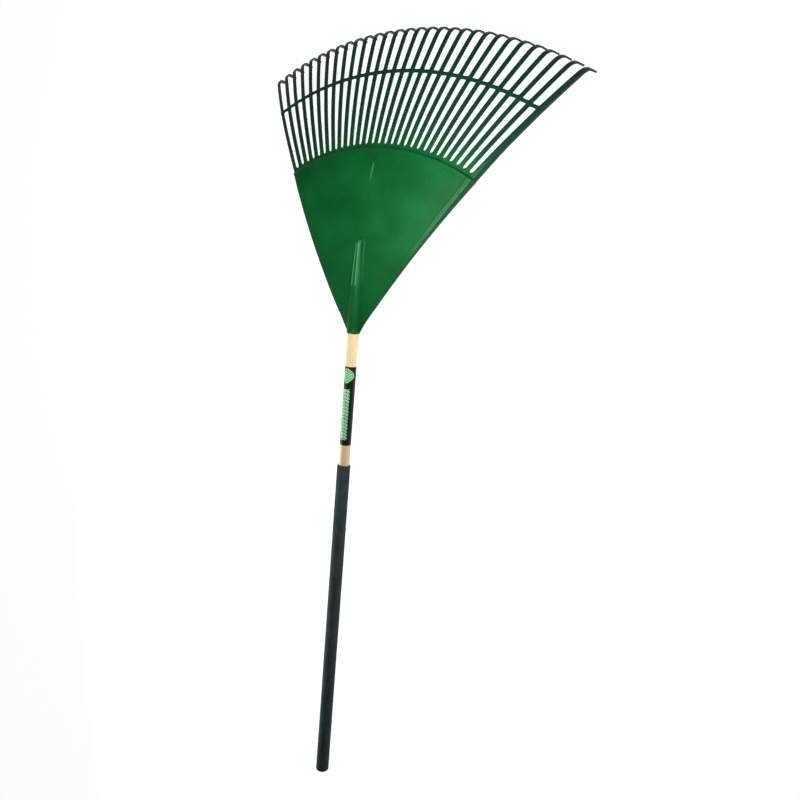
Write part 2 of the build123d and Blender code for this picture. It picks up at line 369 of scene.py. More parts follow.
def socket_radius(y):
    """Outside radius of the socket's tube, which tapers over the handle's tapered end."""
    share = (y - SOCKET_DEPTH + TAPER_LENGTH) / (SOCKET_NOSE_Y - SOCKET_DEPTH + TAPER_LENGTH)
    return mix(SOCKET_RADIUS, SOCKET_NOSE_RADIUS, min(max(share, 0), 1))


def held_x(number, y):
    """Place across of a column that is held close to the socket, or to the side edge."""
    step = abs(number - MIDDLE) / SOCKET_COLUMNS
    tube = socket_radius(y)
    if step <= 1:
        x = mix(tube * sin(pi / 2 * step), GATE_HALF_WIDTH * step**1.3, smooth_step(*NOSE_BLEND, y))
    else:
        steps = MIDDLE - SOCKET_COLUMNS - len(PALM_INSETS) + 1
        share = (abs(number - MIDDLE) - SOCKET_COLUMNS) / steps
        inner = mix(tube, GATE_HALF_WIDTH, smooth_step(*NOSE_BLEND, y))
        most, rest = NARROW_SHARES
        side = edge_x(y) - PALM_INSETS[-1] / cos(EDGE_LEAN)
        inset = edge_inset(number)
        room = smooth_step(*ROOM_SPAN, side - inner)
        if share >= 1:
            crowded = mix(inner, edge_x(y), most + rest * (share - 1))
            x = mix(crowded, edge_x(y) - inset / cos(EDGE_LEAN), room)
        else:
            x = mix(mix(inner, edge_x(y), most * share), mix(inner, side, share), room)
    return x if number >= MIDDLE else -x


def palm_position(number, row):
    """Plan position of a point of the palm's grid."""
    centre_y, radius = ROOT_ARC
    if row < len(PALM_ROWS):
        share = PALM_ROWS[row] / MIDDLE_FRONT
        x = held_x(number, MIDDLE_FRONT)
        for _ in range(SOLVE_STEPS):
            front = centre_y + sqrt((radius + FRONT_START) ** 2 - x**2)
            x = held_x(number, front)
        y = front * share
        return held_x(number, y), y
    distance = FRONT_ROWS[row - len(PALM_ROWS)]
    y = MIDDLE_FRONT
    for _ in range(SOLVE_STEPS):
        x = held_x(number, y)
        y = centre_y + sqrt((radius + distance) ** 2 - x**2)
    index = COLUMNS[number][0]
    in_gap = COLUMNS[number][1] is None
    back = -GAP_CUT * smooth_step(*GAP_CUT_SPAN, distance) if in_gap else 0.0
    lean = tine_angle(index) / FAN_HALF_ANGLE * EDGE_LEAN
    root = root_point(index, column_offset(number, 0))
    spread = root + Vector((sin(lean), cos(lean))) * (distance + back)
    share = smooth_step(*SPREAD_SPAN, distance)
    return mix(x, spread.x, share), mix(y, spread.y, share)


def socket_height(x, y):
    """Height of the socket's outside over the handle axis, falling steeply beside it."""
    radius = socket_radius(y)
    off_axis = hypot(x, max(0.0, y - SOCKET_NOSE_Y))
    rim = RIM_HEIGHT * (1 - smooth_step(*RIM_SPAN, y))
    if off_axis < radius:
        return sqrt(radius**2 - off_axis**2) + rim
    return rim - SOCKET_FALL * (off_axis - radius)


def panel_share(x, y, step):
    """1 on the raised panel, 0 on the root band in front of a step at this distance."""
    distance = hypot(x, y - ROOT_ARC[0]) - ROOT_ARC[1]
    return 1 - smooth_step(step - STEP_SOFTNESS, step + STEP_SOFTNESS, distance)


def palm_relief(x, y):
    """Relief of the panel's top: a bead behind its front step, and the gate mark."""
    distance = hypot(x, y - ROOT_ARC[0]) - ROOT_ARC[1]
    bead = BEAD_HEIGHT * smooth_step(*BEAD_RISE, distance) * (1 - smooth_step(*BEAD_FALL, distance))
    nub = NUB_HEIGHT * (1 - smooth_step(*NUB_SPAN, hypot(x, y - GATE_Y)))
    tail = TAIL_HEIGHT * (1 - smooth_step(*TAIL_SPAN, abs(x)))
    tail *= smooth_step(*TAIL_START, y) * (1 - smooth_step(*TAIL_END, y))
    return bead + nub + tail


def edge_relief(number):
    """Rise of the top near the side edges: a fine border line, and a rounded edge outside it."""
    inset = edge_inset(number)
    line = BORDER_HEIGHT * max(0.0, 1 - abs(inset - BORDER_INSET) / BORDER_HALF_WIDTH)
    return line - EDGE_DROP * max(0.0, 1 - inset / EDGE_ROUNDING) ** 2


def side_rib(number, depth):
    """Shift outwards and down of a column's underside where the side rib hangs from it."""
    inner = min(number, LAST - number)
    if inner >= len(PALM_INSETS) or PALM_INSETS[inner] > RIB_THICKNESS:
        return 0.0, 0.0
    outward = RIB_LEAN * depth
    return (-outward if number < MIDDLE else outward), depth


def palm_points(number, row):
    """Top and underside points of the palm with its socket."""
    x, y = palm_position(number, row)
    grown = max(0.0, y - RIB_START) / (PALM_CORNER.y - RIB_START)
    tube = socket_height(x, y)
    rise = (PANEL_RISE + BAND_TOP) * panel_share(x, y, -ROOT_BAND) - BAND_TOP
    edge = edge_relief(number) * min(1, BORDER_GROWTH * grown)
    top = dome_height(x, y, 0) + rise + palm_relief(x, y) + edge
    on_ridge = abs(number - MIDDLE) == RIDGE_COLUMN and RIDGE_BACK < y < RIDGE_FRONT
    ridge = RIDGE_HEIGHT if on_ridge else 0.0
    lift = (BAND_BOTTOM - PALM_THICKNESS + PANEL_RISE) * panel_share(x, y, -ROOT_BAND - STEP_WALL)
    bottom = -smooth_max(-dome_height(x, y, BAND_BOTTOM - lift), tube, FILLET)
    outward, down = side_rib(number, (RIB_DEPTH + lift) * min(grown, 1) ** RIB_GROWTH)
    lower = (x + outward * cos(EDGE_LEAN), y - abs(outward) * sin(EDGE_LEAN), bottom - down)
    return (x, y, smooth_max(top, tube, FILLET) + ridge), lower


def tine_frame(index, distance):
    """Centre, direction, sideways vector and normal of a tine at a distance along it."""
    angle = tine_angle(index)
    x = distance * sin(angle)
    y = FAN_Y + distance * cos(angle)
    centre = Vector((x, y, dome_height(x, y, TINE_DEPTH)))
    normal = (centre - DOME_CENTRE).normalized()
    radial = Vector((sin(angle), cos(angle), 0))
    along = (radial - normal * radial.dot(normal)).normalized()
    return centre, along, along.cross(normal), normal


def tine_stations(index, start):
    """Distances of a tine's straight rows along it, from its root to the start of its bend."""
    angle = tine_angle(index)
    root = reach(angle, ROOT_ARC)
    bar = reach(angle, BAR_ARC)
    stations = [root + step for step in ROOT_ROWS]
    stations += [mix(stations[-1], bar + BAR_ROWS[0], share) for share in BEFORE_BAR_STEPS]
    stations += [bar + step for step in BAR_ROWS]
    stations += [mix(bar + BAR_ROWS[-1], start, share) for share in PAST_BAR_STEPS]
    return stations


def tine_rows(index):
    """Frames down a tine: centre, sideways vector, normal, and share of the hook passed."""
    angle = tine_angle(index)
    hook = Vector((HOOK_SPLAY * sin(angle), 0, -1)).normalized()
    corner = reach(angle, BEND_ARC)
    half_turn = tine_frame(index, corner)[1].angle(hook) / 2
    start = corner - HOOK_RADIUS * sin(half_turn) / cos(half_turn)
    rows = []
    for distance in tine_stations(index, start):
        centre, along, across, normal = tine_frame(index, distance)
        rows.append((centre, across, normal, 0.0))

    turn = along.angle(hook)
    inward = (hook - along * along.dot(hook)).normalized()
    bend_across = inward.cross(along)
    straight = HOOK_LENGTH - HOOK_RADIUS * sin(turn / 2) / cos(turn / 2)
    bend_share = HOOK_RADIUS * turn / (HOOK_RADIUS * turn + straight)
    for step in range(1, BEND_STEPS + 1):
        share = step / BEND_STEPS
        bend = turn * share
        point = centre + along * HOOK_RADIUS * sin(bend) + inward * HOOK_RADIUS * (1 - cos(bend))
        direction = along * cos(bend) + inward * sin(bend)
        mixed = across.lerp(bend_across, share)
        sideways = (mixed - direction * mixed.dot(direction)).normalized()
        rows.append((point, sideways, sideways.cross(direction), bend_share * share))
    for share in STRAIGHT_STEPS:
        place = point + hook * straight * share
        rows.append((place, sideways, rows[-1][2], mix(bend_share, 1, share)))
    return rows


def tine_points(index, step, frame_row, number):
    """Top and underside points of a tine in one of its columns."""
    centre, sideways, normal, hooked = frame_row
    shrink = mix(TINE_WIDTH, HOOK_TIP_WIDTH, hooked) / TINE_WIDTH
    if hooked == 1:
        shrink *= TIP_SHRINK
    past_root = (centre.xy - root_point(index, 0)).length
    half = mix(TINE_THICKNESS, HOOK_TIP_THICKNESS, min(2 * hooked, 1)) / 2
    raised = BAR_RISE if step in RAISED_STEPS else 0.0
    place = centre + sideways * column_offset(number, past_root) * shrink
    upper = place + normal * (half + raised)
    lower = place - normal * half
    if is_edge(index):
        length = reach(tine_angle(index), BEND_ARC) - reach(tine_angle(index), ROOT_ARC)
        depth = mix(RIB_DEPTH, RIB_END_DEPTH, min(past_root / length, 1))
        depth *= 1 - smooth_step(0, RIB_FADE, hooked)
        outward, down = side_rib(number, depth)
        upper += normal * edge_relief(number) * (1 - smooth_step(0, EDGE_TAPER, past_root))
        lower += sideways * outward - normal * down
    return upper, lower


def grid_points(points):
    """Fills in the points and returns the top and underside point numbers by column and row."""
    top, bottom = {}, {}

    def add(key, pair):
        top[key] = len(points)
        bottom[key] = len(points) + 1
        points.extend(Vector(point) for point in pair)

    palm_rows = len(PALM_ROWS) + len(FRONT_ROWS)
    for number in range(LAST + 1):
        for row in range(palm_rows):
            add((number, row), palm_points(number, row))
    for index in range(TINE_COUNT):
        numbers = [number for number, column in enumerate(COLUMNS) if column[0] == index]
        for step, frame_row in enumerate(tine_rows(index)):
            for number in numbers:
                add((number, palm_rows + step), tine_points(index, step, frame_row, number))
    for number, column in enumerate(COLUMNS):
        if column[1] is None:
            for row in bar_rows():
                pair = []
                for side in (top, bottom):
                    near, far = side[number - 1, row], side[number + 1, row]
                    pair.append((points[near] + points[far]) / 2)
                add((number, row), pair)
    return top, bottom


def bar_rows():
    """Grid rows that the crossbar takes up."""
    start = len(PALM_ROWS) + len(FRONT_ROWS) + BAR_START
    return range(start + 1, start + len(BAR_ROWS) - 1)


def grid_cells():
    """Cells of the grid that are solid, as the column and row of their first corner."""
    palm_end = len(PALM_ROWS) + len(FRONT_ROWS) - 1
    row_count = palm_end + 1 + len(tine_rows(0))
    cells = set()
    for number in range(LAST):
        in_tine = COLUMNS[number][1] is not None and COLUMNS[number + 1][1] is not None
        for row in range(row_count - 1):
            in_bar = row in bar_rows() and row + 1 in bar_rows()
            if in_tine or in_bar or row < palm_end:
                cells.add((number, row))
    return cells


def make_head():
    """The whole moulding as one closed mesh: palm, socket, tines, crossbar and hooks."""
    points, faces, rims = [], [], []
    top, bottom = grid_points(points)
    cells = grid_cells()
    tube = range(MIDDLE - SOCKET_COLUMNS, MIDDLE + SOCKET_COLUMNS)
    for number, row in sorted(cells):
        ring = [(number, row), (number + 1, row), (number + 1, row + 1), (number, row + 1)]
        faces.append([top[key] for key in ring])
        faces.append([bottom[key] for key in reversed(ring)])
        beside = [(number, row - 1), (number + 1, row), (number, row + 1), (number - 1, row)]
        for cell, start, end in zip(beside, ring, ring[1:] + ring[:1]):
            if cell in cells:
                continue
            rims += [(top[start], top[end]), (bottom[start], bottom[end])]
            if not (row == 0 and cell[1] < 0 and number in tube):
                faces.append([top[end], top[start], bottom[start], bottom[end]])
    add_bore(points, faces, rims, top, bottom)
    nodes = ["palm", "crossbar"] + [f"tine_{index + 1:02d}" for index in range(TINE_COUNT)]
    head = make_piece("rake_head", points, faces, nodes)
    subdivide(head, rims, RIM_CREASE)
    return head


def add_bore(points, faces, rims, top, bottom):
    """Blind bore of the socket, joined to the outline of the neck's mouth; adds its edge to the rims."""
    wall = HANDLE_RADIUS + SOCKET_CLEARANCE
    stations = [
        (0, wall),
        (MOUTH_RING, wall),
        (SOCKET_DEPTH - TAPER_LENGTH, wall),
        (SOCKET_DEPTH + SOCKET_CLEARANCE, HANDLE_NOSE_RADIUS + SOCKET_CLEARANCE),
    ]
    across = range(MIDDLE - SOCKET_COLUMNS, MIDDLE + SOCKET_COLUMNS + 1)
    outline = [top[number, 0] for number in across] + [bottom[number, 0] for number in reversed(across)]
    rings = [outline]
    for y, radius in stations:
        rings.append(range(len(points), len(points) + len(outline)))
        for number in outline:
            angle = atan2(points[number].z, points[number].x)
            points.append(Vector((radius * cos(angle), y, radius * sin(angle))))
    for outer, inner in zip(rings, rings[1:]):
        for step in range(len(outline)):
            before = step - 1
            faces.append([outer[step], outer[before], inner[before], inner[step]])
    faces.append(list(rings[-1]))
    rims += [(rings[1][step - 1], rings[1][step]) for step in range(len(outline))]


# ---------------------------------------------------------------- handle, grip, label, screw


def turned_mesh(profile, segments, radius_at):
    """Points and faces of a shape turned about the handle axis; radius 0 closes an end."""
    points, faces, rings = [], [], []
    for y, radius in profile:
        if rings and (y, radius) == profile[0]:
            rings.append(rings[0])
            continue
        if radius == 0:
            rings.append([len(points)] * segments)
            points.append(Vector((0, y, 0)))
            continue
        rings.append(range(len(points), len(points) + segments))
        for step in range(segments):
            angle = 2 * pi * step / segments
            r = radius_at(y, angle, radius)
            points.append(Vector((r * sin(angle), y, r * cos(angle))))
    for near, far in zip(rings, rings[1:]):
        for step in range(segments):
            quad = (near[step - 1], near[step], far[step], far[step - 1])
            faces.append(list(dict.fromkeys(quad)))
    return points, faces


def rounded_end(y, radius, rounding, outward, steps):
    """Profile from a flat end face, over its rounded edge, to its side."""
    places = []
    for step in range(steps + 1):
        angle = pi / 2 * step / steps
        places.append((y - outward * rounding * (1 - cos(angle)), radius - rounding * (1 - sin(angle))))
    return places


def make_pole():
    """Turned wooden pole with a rounded butt and a tapered front end."""
    taper_start = SOCKET_DEPTH - TAPER_LENGTH
    profile = [(BUTT, 0)] + rounded_end(BUTT, HANDLE_RADIUS, BUTT_ROUNDING, -1, 8)
    start = profile[-1][0]
    for step in range(1, POLE_RINGS + 1):
        profile.append((mix(start, taper_start, step / POLE_RINGS), HANDLE_RADIUS))
    profile += [(SOCKET_DEPTH, HANDLE_NOSE_RADIUS), (SOCKET_DEPTH, 0)]

    def radius_at(y, angle, radius):
        around = Vector((y / 80, 1.5 * cos(angle), 1.5 * sin(angle)))
        return radius - POLE_UNEVEN + POLE_UNEVEN * noise.noise(around)

    points, faces = turned_mesh(profile, POLE_SEGMENTS, radius_at)
    return make_piece("pole", points, faces, ["handle"])


def make_grip():
    """Long foam tube, slightly uneven, with softly rounded ends."""
    back = rounded_end(GRIP_BACK, GRIP_RADIUS, GRIP_ROUNDING, -1, 5)
    front = rounded_end(GRIP_FRONT, GRIP_RADIUS, GRIP_ROUNDING, 1, 5)[::-1]
    body = []
    for step in range(1, GRIP_RINGS):
        body.append((mix(back[-1][0], front[0][0], step / GRIP_RINGS), GRIP_RADIUS))
    inner_back = (GRIP_BACK + GRIP_CHAMFER, GRIP_BORE)
    profile = [inner_back, (GRIP_BACK, GRIP_BORE + GRIP_CHAMFER)] + back + body + front
    profile += [(GRIP_FRONT, GRIP_BORE + GRIP_CHAMFER), (GRIP_FRONT - GRIP_CHAMFER, GRIP_BORE), inner_back]

    def radius_at(y, angle, radius):
        share = smooth_step(GRIP_BORE, GRIP_RADIUS, radius)
        around = Vector((cos(angle), sin(angle), 0))
        slow = noise.noise(Vector((0, 0, y / 70)) + around * 0.8)
        quick = noise.noise(Vector((0, 4, y / 8)) + around * 2)
        return radius - share * (GRIP_SLACK - GRIP_SLOW_WAVE * slow - GRIP_QUICK_WAVE * quick)

    points, faces = turned_mesh(profile, GRIP_SEGMENTS, radius_at)
    grip = make_piece("foam_sleeve", points, faces, ["foam_grip"])
    return grip


def make_label():
    """Thin film round the bare wood, with rounded corners and its open seam underneath."""
    across, along = LABEL_STEPS
    inner = HANDLE_RADIUS + LABEL_GAP
    half_width = radians(LABEL_WRAP / 2) * HANDLE_RADIUS
    points, faces = [], []
    for radius in (inner, inner + LABEL_THICKNESS):
        for row in range(along + 1):
            for step in range(across + 1):
                side = half_width * (2 * step / across - 1)
                beyond = max(0.0, abs(side) - half_width + LABEL_CORNER)
                inset = LABEL_CORNER - sqrt(LABEL_CORNER**2 - beyond**2)
                y = mix(LABEL_BACK + inset, LABEL_FRONT - inset, row / along)
                angle = side / HANDLE_RADIUS
                points.append(Vector((radius * sin(angle), y, radius * cos(angle))))
    width = across + 1
    sheet = (along + 1) * width
    for row in range(along):
        for step in range(across):
            start = row * width + step
            quad = [start, start + 1, start + 1 + width, start + width]
            faces.append(quad)
            faces.append([sheet + number for number in reversed(quad)])
    border = list(range(width))
    border += [row * width + across for row in range(1, along)]
    border += list(range(along * width + across, along * width - 1, -1))
    border += [row * width for row in range(along - 1, 0, -1)]
    for start, end in zip(border, border[1:] + border[:1]):
        faces.append([start, end, sheet + end, sheet + start])
    return make_piece("label_film", points, faces, ["label"])


def make_screw():
    """Pan-head screw with a cross recess, driven from below into the handle."""
    rim = SCREW_HEAD_HEIGHT
    recess_rim, recess_floor = 0.5, 0.4
    profile = [(-SCREW_LENGTH, 0), (-SCREW_LENGTH, SCREW_RADIUS * 0.6)]
    profile += [(-SCREW_LENGTH + SCREW_POINT, SCREW_RADIUS), (0, SCREW_RADIUS), (0, SCREW_HEAD_RADIUS * 0.97)]
    for share in (0.1, 0.4, 0.7, 0.9):
        profile.append((rim * share, SCREW_HEAD_RADIUS * sqrt(1 - 0.35 * share**3)))
    profile += [(rim, SCREW_HEAD_RADIUS * 0.72), (rim, recess_rim)]
    profile += [(rim - RECESS_DEPTH, recess_floor), (rim - RECESS_DEPTH, 0)]

    def radius_at(height, angle, radius):
        if radius > recess_rim or height < 0:
            return radius
        turn = (angle + pi / 4) % (pi / 2) - pi / 4
        arm = RECESS_HALF_WIDTH / max(abs(sin(turn)), RECESS_HALF_WIDTH / RECESS_REACH * cos(turn))
        return min(arm, RECESS_REACH / cos(turn)) * (radius / recess_rim)

    turned, faces = turned_mesh(profile, SCREW_SEGMENTS, radius_at)
    points = [Vector((point.x, SCREW_Y + point.z, -SOCKET_RADIUS - point.y)) for point in turned]
    return make_piece("pan_screw", points, faces, ["head_screw"])


# ---------------------------------------------------------------- materials


# Greens of the moulding
GREEN_MOTTLE = ((0.32, (0.0007, 0.042, 0.0088)), (0.5, (0.0013, 0.064, 0.0140)), (0.68, (0.0030, 0.092, 0.0225)))
# Painted shade on the tines beyond the gap roots
TINE_SHADE_GREEN = (0.0035, 0.032, 0.017, 1)
# Painted shade on the wall of the front step
STEP_SHADE_GREEN = (0.0010, 0.022, 0.006, 1)
# Painted shade towards the neck
NECK_SHADE_GREEN = (0.0010, 0.050, 0.012, 1)
# Painted shade on the side ribs and the parts hanging below the dome
RIB_SHADE_GREEN = (0.0020, 0.026, 0.010, 1)
# Painted highlight along the gate mark's tail
GATE_HIGHLIGHT_GREEN = (0.030, 0.25, 0.10, 1)
# Painted shade at a sink dent beside the gate, which is not modelled
SINK_SHADE_GREEN = (0.0015, 0.05, 0.012, 1)
# Painted highlights: two light lines along the socket's tapered end
SOCKET_HIGHLIGHT_GREEN = (0.06, 0.36, 0.15, 1)
SCUFF_GREEN = (0.012, 0.19, 0.05, 1)
# Length of the painted highlight along the gate mark's tail
GATE_HIGHLIGHT_LENGTH = 36.0
# Centre of the painted shade beside the gate
SINK_SHADE_CENTRE = (-9.0, GATE_Y - 5)

# Wood, foam, label and steel
WOOD_GRAIN = ((0.30, (0.52, 0.33, 0.17)), (0.50, (0.70, 0.48, 0.26)), (0.72, (0.78, 0.58, 0.35)))
WOOD_PORES = (0.42, 0.25, 0.12, 1)
WOOD_PALE = (0.80, 0.68, 0.50, 1)
FOAM_SKIN = ((0.3, (0.032, 0.044, 0.045)), (0.55, (0.048, 0.064, 0.065)), (0.75, (0.068, 0.088, 0.089)))
FOAM_PITS = (0.007, 0.010, 0.011, 1)
INK_GREENS = ((0.30, 0.66, 0.36, 1), (0.52, 0.82, 0.56, 1))
INK_SHADE = (0.03, 0.20, 0.05, 1)
FILM_BLACKS = ((0.002, 0.006, 0.003, 1), (0.006, 0.018, 0.009, 1))
STEEL_TONES = ((0.3, (0.48, 0.49, 0.50)), (0.7, (0.66, 0.67, 0.68)))

# Print on the label: leaves of the sprig by length, width and lean, and the large leaf above
SPRIG_PITCH = 7.2
SPRIG_LEAF = (12.0, 5.4, radians(52))
SPRIG_BACK = LABEL_BACK + 12
SPRIG_FRONT = LABEL_FRONT - 48
STEM_HALF_WIDTH = 0.7
CROWN_LEAF = (34.0, 32.0, 0.0)
CROWN_BACK = LABEL_FRONT - 36
CROWN_VEIN_PITCH = 5.5
VEIN_HALF_WIDTH = 0.28


class Nodes:
    """Short way to build a material's nodes around one Principled shader."""

    def __init__(self, name, piece):
        self.material = bpy.data.materials.new(name)
        self.material.use_nodes = True
        self.tree = self.material.node_tree
        self.shader = self.tree.nodes["Principled BSDF"]
        coordinates = self.tree.nodes.new("ShaderNodeTexCoord")
        place, turn, scale = RAKE.inverted().decompose()
        self.along = self.new(
            "ShaderNodeMapping",
            Vector=coordinates.outputs["Object"],
            Location=place,
            Rotation=turn.to_euler(),
            Scale=scale,
        ).outputs["Vector"]
        piece.data.materials.append(self.material)

    def new(self, kind, settings=None, **inputs):
        """Adds a node, sets its properties, and links or sets its inputs by name or number."""
        node = self.tree.nodes.new(kind)
        for key, value in (settings or {}).items():
            setattr(node, key, value)
        self.feed(node, inputs)
        return node

    def feed(self, node, inputs):
        """Links or sets a node's inputs: _0 is input number 0, and __ in a name stands for a space."""
        for key, value in inputs.items():
            socket = node.inputs[int(key[1:])] if key[0] == "_" else node.inputs[key.replace("__", " ")]
            if isinstance(value, bpy.types.NodeSocket):
                self.tree.links.new(value, socket)
            else:
                socket.default_value = value

    def math(self, operation, *values):
        """Result of a math node on up to three values or sockets."""
        node = self.new("ShaderNodeMath", {"operation": operation})
        self.feed(node, {f"_{number}": value for number, value in enumerate(values)})
        return node.outputs[0]

    def times(self, a, b):
        """Product of two values or sockets."""
        return self.math("MULTIPLY", a, b)

    def minus(self, a, b):
        """Difference of two values or sockets."""
        return self.math("SUBTRACT", a, b)

    def scaled(self, x, y, z):
        """Coordinates along the handle in millimetres, scaled per axis."""
        return self.new("ShaderNodeMapping", Vector=self.along, Scale=(x, y, z)).outputs["Vector"]

    def noise(self, vector, scale, detail=2.0, roughness=0.5):
        """Noise value from 0 to 1; the scale is in cycles per millimetre of the vector."""
        settings = {"Scale": scale, "Detail": detail, "Roughness": roughness}
        return self.new("ShaderNodeTexNoise", Vector=vector, **settings).outputs[0]

    def remap(self, value, low, high, new_low, new_high, kind="SMOOTHSTEP"):
        """Value mapped smoothly from one range to another."""
        node = self.new("ShaderNodeMapRange", {"interpolation_type": kind})
        self.feed(node, {"_0": value, "_1": low, "_2": high, "_3": new_low, "_4": new_high})
        return node.outputs[0]

    def distance(self, u, v, u_centre, v_centre):
        """Distance of a pair of values from a centre."""
        squares = []
        for value, centre in ((u, u_centre), (v, v_centre)):
            off = self.minus(value, centre)
            squares.append(self.times(off, off))
        return self.math("SQRT", self.math("ADD", *squares))

    def span(self, value, low, high):
        """1 between two values, fading to 0 within five units of each end."""
        entered = self.remap(value, low, low + 5.0, 0.0, 1.0)
        return self.times(entered, self.remap(value, high - 5.0, high, 1.0, 0.0))

    def ramp(self, value, stops):
        """Colour from a value through a list of (position, colour)."""
        node = self.new("ShaderNodeValToRGB", _0=value)
        elements = node.color_ramp.elements
        while len(elements) < len(stops):
            elements.new(0.5)
        for element, (position, colour) in zip(elements, stops):
            element.position = position
            element.color = (*colour, 1)
        return node.outputs[0]

    def mix(self, factor, a, b):
        """Colour between two colours."""
        node = self.new("ShaderNodeMix", {"data_type": "RGBA"})
        self.feed(node, {"_0": factor, "_6": a, "_7": b})
        return node.outputs[2]

    def bump(self, height, distance, strength=1.0, normal=None):
        """Bump from a height from 0 to 1 that stands for a distance in metres."""
        node = self.new("ShaderNodeBump", Height=height, Distance=distance, Strength=strength)
        if normal is not None:
            self.feed(node, {"Normal": normal})
        return node.outputs[0]


def plastic_material(head):
    """Satin green polypropylene: mottle, painted highlights on the gate mark's tail and two socket lines, and
    painted shade on the thin tines, front step, neck, ribs and a sink dent.
    """
    n = Nodes("green_plastic", head)
    x, y, z = n.new("ShaderNodeSeparateXYZ", Vector=n.along).outputs
    x_off = n.math("ABSOLUTE", x)
    mottle = n.noise(n.along, 0.012, 3.0)
    speckle = n.noise(n.along, 0.35, 4.0, 0.6)
    blended = n.math("ADD", n.times(mottle, 0.6), n.times(speckle, 0.4))
    colour = n.ramp(blended, GREEN_MOTTLE)

    past_root = n.minus(n.distance(x, y, 0.0, ROOT_ARC[0]), ROOT_ARC[1])
    # Painted shade: the tines turn darker from the gap roots outwards
    tine_shade = n.remap(past_root, -12.0, 60.0, 0.0, 0.9)
    colour = n.mix(tine_shade, colour, TINE_SHADE_GREEN)
    # Painted shade: a dark line on the front step's wall
    step_off = n.math("ABSOLUTE", n.math("ADD", past_root, ROOT_BAND))
    colour = n.mix(n.remap(step_off, 0.6, 2.0, 0.75, 0.0), colour, STEP_SHADE_GREEN)
    # Painted shade: the palm darker towards the neck
    colour = n.mix(n.remap(y, 20.0, 190.0, 0.4, 0.0), colour, NECK_SHADE_GREEN)
    # Painted shade on the ribs and on all that lies more than 3.5 mm under the dome
    to_centre = n.distance(n.distance(x, y, 0.0, DOME_Y), z, 0.0, -DOME_RADIUS)
    below = n.minus(DOME_RADIUS, to_centre)
    colour = n.mix(n.remap(below, 3.5, 8.0, 0.0, 0.75), colour, RIB_SHADE_GREEN)

    # Painted highlight: a light streak along the gate mark's tail
    streak = n.times(n.remap(x_off, 0.8, 3.0, 1.0, 0.0), n.span(y, GATE_Y - GATE_HIGHLIGHT_LENGTH, GATE_Y))
    colour = n.mix(n.times(streak, 0.45), colour, GATE_HIGHLIGHT_GREEN)
    # Painted shade: a darker spot for a sink dent beside the gate
    sink_shade = n.remap(n.distance(x, y, *SINK_SHADE_CENTRE), 1.5, 6.0, 0.6, 0.0)
    colour = n.mix(sink_shade, colour, SINK_SHADE_GREEN)

    # Painted highlights: two light lines over the socket's ridges on its top, the left one brighter
    ridge_share = sin(pi / 2 * RIDGE_COLUMN / SOCKET_COLUMNS)
    ends = [socket_radius(y_end) * ridge_share for y_end in (RIDGE_BACK, RIDGE_FRONT)]
    line_x = n.remap(y, RIDGE_BACK, RIDGE_FRONT, *ends, "LINEAR")
    line_off = n.math("ABSOLUTE", n.minus(x_off, line_x))
    highlight_lines = n.times(n.remap(line_off, 0.4, 1.5, 1.0, 0.0), n.span(y, RIDGE_BACK, RIDGE_FRONT))
    highlight_lines = n.times(highlight_lines, n.math("GREATER_THAN", z, 0.0))
    highlight_lines = n.times(highlight_lines, n.remap(x, -3.0, 3.0, 0.75, 0.45))
    colour = n.mix(highlight_lines, colour, SOCKET_HIGHLIGHT_GREEN)

    scuffed = n.remap(n.noise(n.scaled(1, 0.12, 1), 0.9, 3.0, 0.55), 0.60, 0.78, 0.0, 0.14)
    n.feed(n.shader, {"Base__Color": n.mix(scuffed, colour, SCUFF_GREEN)})
    n.feed(n.shader, {"Roughness": n.remap(speckle, 0.3, 0.7, 0.34, 0.46)})
    n.feed(n.shader, {"Specular__IOR__Level": 0.13})
    wave = n.bump(mottle, 0.0012, 0.35)
    n.feed(n.shader, {"Normal": n.bump(n.noise(n.along, 0.9, 3.0), 0.00012, 0.7, wave)})


def wood_material(pole):
    """Pale turned ash: long grain, pore streaks and a thin satin lacquer."""
    n = Nodes("pale_wood", pole)
    grain = n.noise(n.scaled(0.28, 0.008, 0.28), 1.0, 5.0, 0.6)
    streak = n.noise(n.scaled(1.5, 0.02, 1.5), 1.0, 3.0, 0.6)
    tone = n.noise(n.scaled(0.02, 0.004, 0.02), 1.0, 2.0)
    base = n.ramp(grain, WOOD_GRAIN)
    pores = n.remap(streak, 0.56, 0.70, 0.0, 0.45)
    lined = n.mix(pores, base, WOOD_PORES)
    paler = n.remap(tone, 0.35, 0.65, 0.0, 0.35)
    n.feed(n.shader, {"Base__Color": n.mix(paler, lined, WOOD_PALE)})
    n.feed(n.shader, {"Roughness": n.remap(streak, 0.3, 0.7, 0.38, 0.55)})
    n.feed(n.shader, {"Specular__IOR__Level": 0.4, "Coat__Weight": 0.15, "Coat__Roughness": 0.25})
    n.feed(n.shader, {"Normal": n.bump(streak, 0.00008, 0.5)})


def foam_material(grip):
    """Charcoal closed-cell foam: fine skin pores and slight tone changes."""
    n = Nodes("charcoal_foam", grip)
    cells = n.new("ShaderNodeTexVoronoi", Vector=n.along, Scale=1.5).outputs["Distance"]
    tone = n.noise(n.scaled(0.06, 0.03, 0.06), 1.0, 4.0, 0.55)
    skin = n.ramp(tone, FOAM_SKIN)
    pits = n.remap(cells, 0.08, 0.35, 0.55, 0.0)
    n.feed(n.shader, {"Base__Color": n.mix(pits, skin, FOAM_PITS)})
    n.feed(n.shader, {"Roughness": n.remap(tone, 0.3, 0.7, 0.88, 0.98)})
    n.feed(n.shader, {"Specular__IOR__Level": 0.05})
    n.feed(n.shader, {"Normal": n.bump(cells, 0.00025, 0.7, n.bump(tone, 0.0008, 0.3))})


